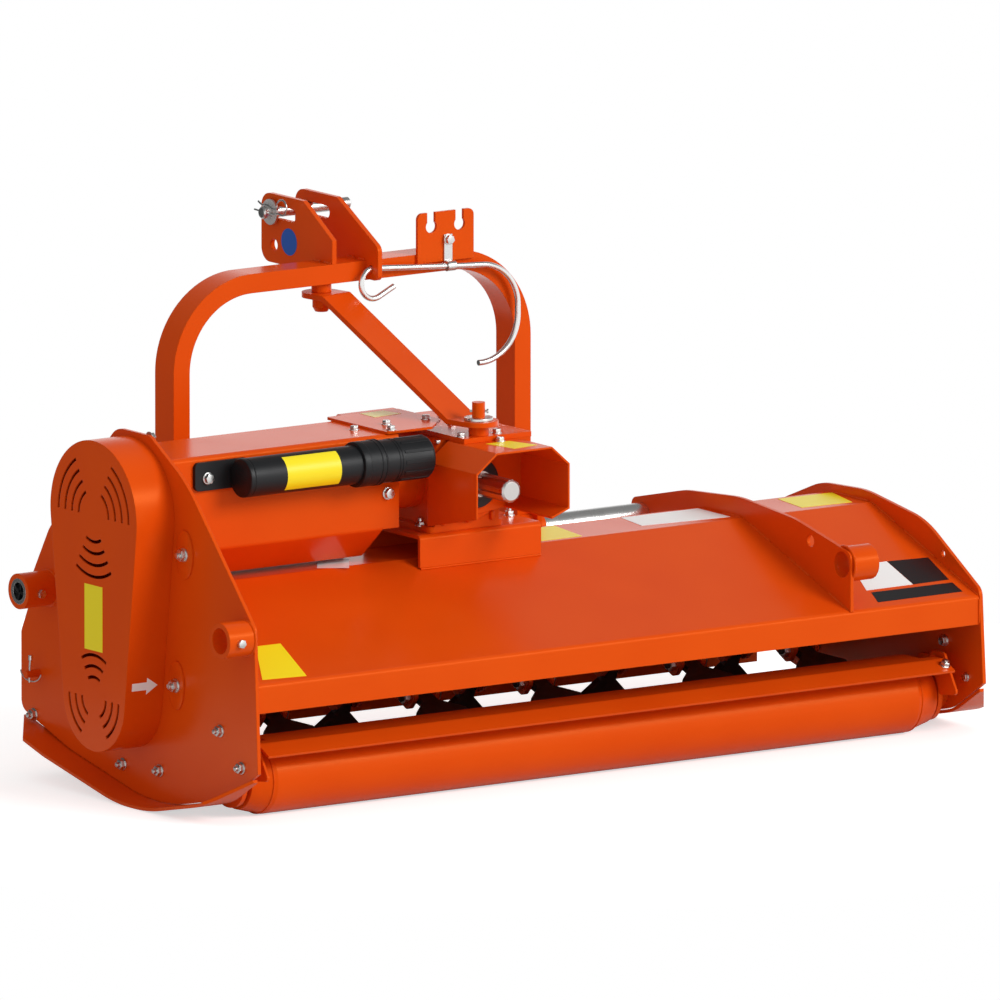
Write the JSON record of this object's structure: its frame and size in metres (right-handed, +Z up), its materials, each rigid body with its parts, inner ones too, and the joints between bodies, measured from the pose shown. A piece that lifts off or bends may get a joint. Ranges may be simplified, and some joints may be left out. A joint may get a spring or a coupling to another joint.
{
  "type": "flail mulcher",
  "caption": "Tractor-carried flail mulcher with a sliding linkage headstock, belt-driven hammer rotor, hanging front flap, side skids and rear roller.",
  "frame": {"origin": "on the ground, in the middle of the machine's outline", "axes": "+X to the right seen from behind the roller, +Y forwards to the tractor, +Z up"},
  "size_m": [1.48, 0.74, 0.832],
  "materials": {
    "orange_paint": "powder coat, satin gloss",
    "black_plastic": "moulded, fine grain",
    "flail_steel": "forged and blackened",
    "chromed_steel": "hard chromed, polished",
    "zinc_steel": "zinc plated",
    "shaft_steel": "machined, oiled"
  },
  "bodies": {
    "chassis": {"side_plate_left": "orange_paint", "side_plate_right": "orange_paint", "hood": "orange_paint", "inner_plate": "orange_paint", "skid_left": "orange_paint", "skid_right": "orange_paint", "slide_bar": "chromed_steel", "bar_bosses": "orange_paint", "roller_arm_left": "orange_paint", "roller_arm_right": "orange_paint", "scraper": "orange_paint", "rotor_bearing_left": "orange_paint", "rotor_bearing_right": "orange_paint", "bearing_cap": "orange_paint", "belt_cover": "orange_paint", "drive_housing": "orange_paint", "shaft_tube": "orange_paint", "housing_lid": "orange_paint", "gearbox": "orange_paint", "gearbox_top_plate": "orange_paint", "gearbox_pedestal": "orange_paint", "pto_guard_rear": "orange_paint", "pto_guard_front": "orange_paint", "flap_rod": "zinc_steel", "brace_post": "orange_paint", "canister_body": "black_plastic", "canister_cap": "black_plastic"},
    "rotor": {"rotor_drum": "orange_paint", "flails": "flail_steel"},
    "roller": {"roller": "orange_paint"},
    "pto": {"pto_shaft": "shaft_steel"},
    "headstock": {"head_frame": "orange_paint", "link_bracket_left": "orange_paint", "link_bracket_right": "orange_paint", "link_pin_left": "zinc_steel", "link_pin_right": "zinc_steel", "top_link_ear_left": "orange_paint", "top_link_ear_right": "orange_paint", "top_link_pin": "zinc_steel", "hose_holder": "orange_paint", "rod_clamp": "zinc_steel", "hose_rod": "chromed_steel", "brace_upper_pin": "orange_paint"},
    "brace": {"brace_bar": "orange_paint"},
    "front_flap": {"front_flap": "orange_paint"}
  },
  "joints": [
    {"name": "rotor_spin", "type": "hinge", "parent": "chassis", "child": "rotor", "pos_m": [0.01, -0.032, 0.162], "axis": [1, 0, 0], "continuous": true},
    {"name": "pto_spin", "type": "hinge", "parent": "chassis", "child": "pto", "pos_m": [-0.095, -0.032, 0.443], "axis": [0, 1, 0], "continuous": true},
    {"name": "roller_spin", "type": "hinge", "parent": "chassis", "child": "roller", "pos_m": [0.01, -0.251, 0.057], "axis": [1, 0, 0], "continuous": true},
    {"name": "side_shift", "type": "slide", "parent": "chassis", "child": "headstock", "axis": [1, 0, 0], "range_m": [0, 0.118]},
    {"name": "brace_swing", "type": "hinge", "parent": "headstock", "child": "brace", "pos_m": [-0.154, 0.204, 0.695], "axis": [0, 0, 1], "range_deg": [-20, 0]},
    {"name": "flap_swing", "type": "hinge", "parent": "chassis", "child": "front_flap", "pos_m": [0.01, 0.22, 0.156], "axis": [1, 0, 0], "range_deg": [-8, 75]}
  ],
  "couplings": [
    {"joint": "pto_spin", "follows": "rotor_spin", "ratio": 0.256},
    {"joint": "brace_swing", "follows": "side_shift", "rad_per_m": -2.9464}
  ]
}
